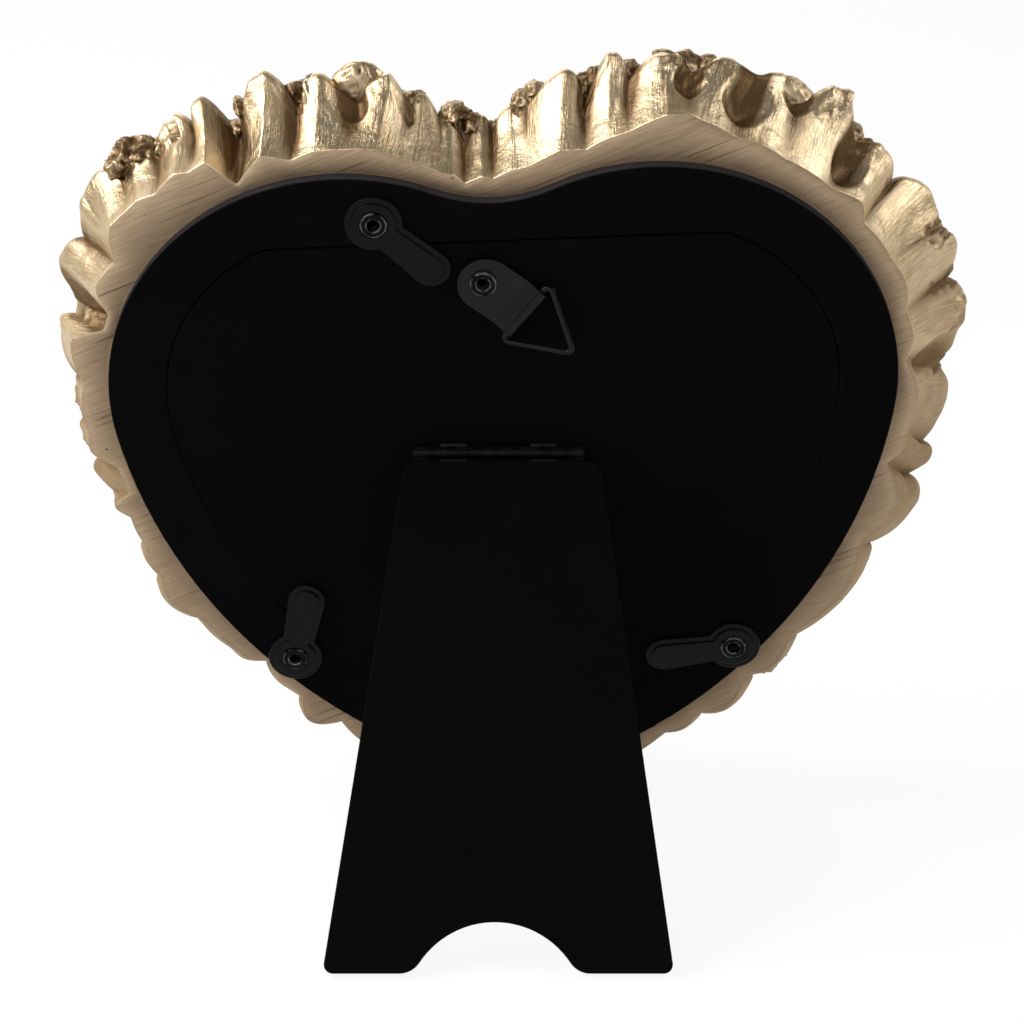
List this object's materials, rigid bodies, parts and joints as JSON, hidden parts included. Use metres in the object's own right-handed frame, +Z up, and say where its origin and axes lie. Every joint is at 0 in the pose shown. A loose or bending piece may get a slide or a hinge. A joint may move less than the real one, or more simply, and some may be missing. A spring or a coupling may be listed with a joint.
{
  "type": "heart shaped photo frame",
  "caption": "Heart shaped easel photo frame: gold cast resin petals and flowers, velvet board back, folding leg, turn buttons and a hanging ring.",
  "frame": {"origin": "middle of the flat foot of the cast frame, on the table", "axes": "+Z up, +X to the right as seen from the front, the front faces -Y and the leg opens to +Y"},
  "size_m": [0.1946, 0.1021, 0.1806],
  "materials": {
    "resin_gold": "antique gold paint on cast resin",
    "glass": "clear float glass",
    "paper": "plain printed insert",
    "card": "raw card",
    "board": "grey board",
    "velvet": "black velvet paper",
    "black_steel": "satin black paint",
    "hinge_steel": "glossy black plated steel",
    "rivet_steel": "bare steel"
  },
  "bodies": {
    "frame": {"resin_frame": "resin_gold", "glass_pane": "glass", "photo_sheet": "paper", "filler_card": "card", "ring_board": "board", "ring_velvet": "velvet", "panel_board": "board", "panel_velvet": "velvet", "button_eyelets": "hinge_steel", "hanger_eyelet": "hinge_steel", "panel_leaf": "hinge_steel", "panel_leaf_rivets": "rivet_steel", "hinge_pin": "hinge_steel"},
    "easel_leg": {"leg_board": "board", "leg_velvet": "velvet", "leg_leaf": "hinge_steel", "leg_leaf_rivets": "rivet_steel"},
    "top_button": {"button_top": "black_steel"},
    "left_button": {"button_left": "black_steel"},
    "right_button": {"button_right": "black_steel"},
    "strap": {"hanger_strap": "black_steel"},
    "loop": {"hanger_ring": "hinge_steel"}
  },
  "joints": [
    {"name": "leg_hinge", "type": "hinge", "parent": "frame", "child": "easel_leg", "pos_m": [0, 0.0343, 0.09545], "axis": [-1, 0, 0], "range_deg": [0, 39]},
    {"name": "top_button_turn", "type": "hinge", "parent": "frame", "child": "top_button", "pos_m": [0.02562, 0.04234, 0.14912], "axis": [0, 0.9848, -0.1736], "continuous": true},
    {"name": "left_button_turn", "type": "hinge", "parent": "frame", "child": "left_button", "pos_m": [0.04583, 0.02352, 0.04235], "axis": [0, 0.9848, -0.1736], "continuous": true},
    {"name": "right_button_turn", "type": "hinge", "parent": "frame", "child": "right_button", "pos_m": [-0.05188, 0.02405, 0.04537], "axis": [0, 0.9848, -0.1736], "continuous": true},
    {"name": "strap_turn", "type": "hinge", "parent": "frame", "child": "strap", "pos_m": [0.00335, 0.04002, 0.13597], "axis": [0, 0.9848, -0.1736], "range_deg": [-52, 127]},
    {"name": "loop_swing", "type": "hinge", "parent": "strap", "child": "loop", "pos_m": [-0.00522, 0.04024, 0.12926], "axis": [0.6088, -0.1378, -0.7813], "range_deg": [-16, 120]}
  ]
}
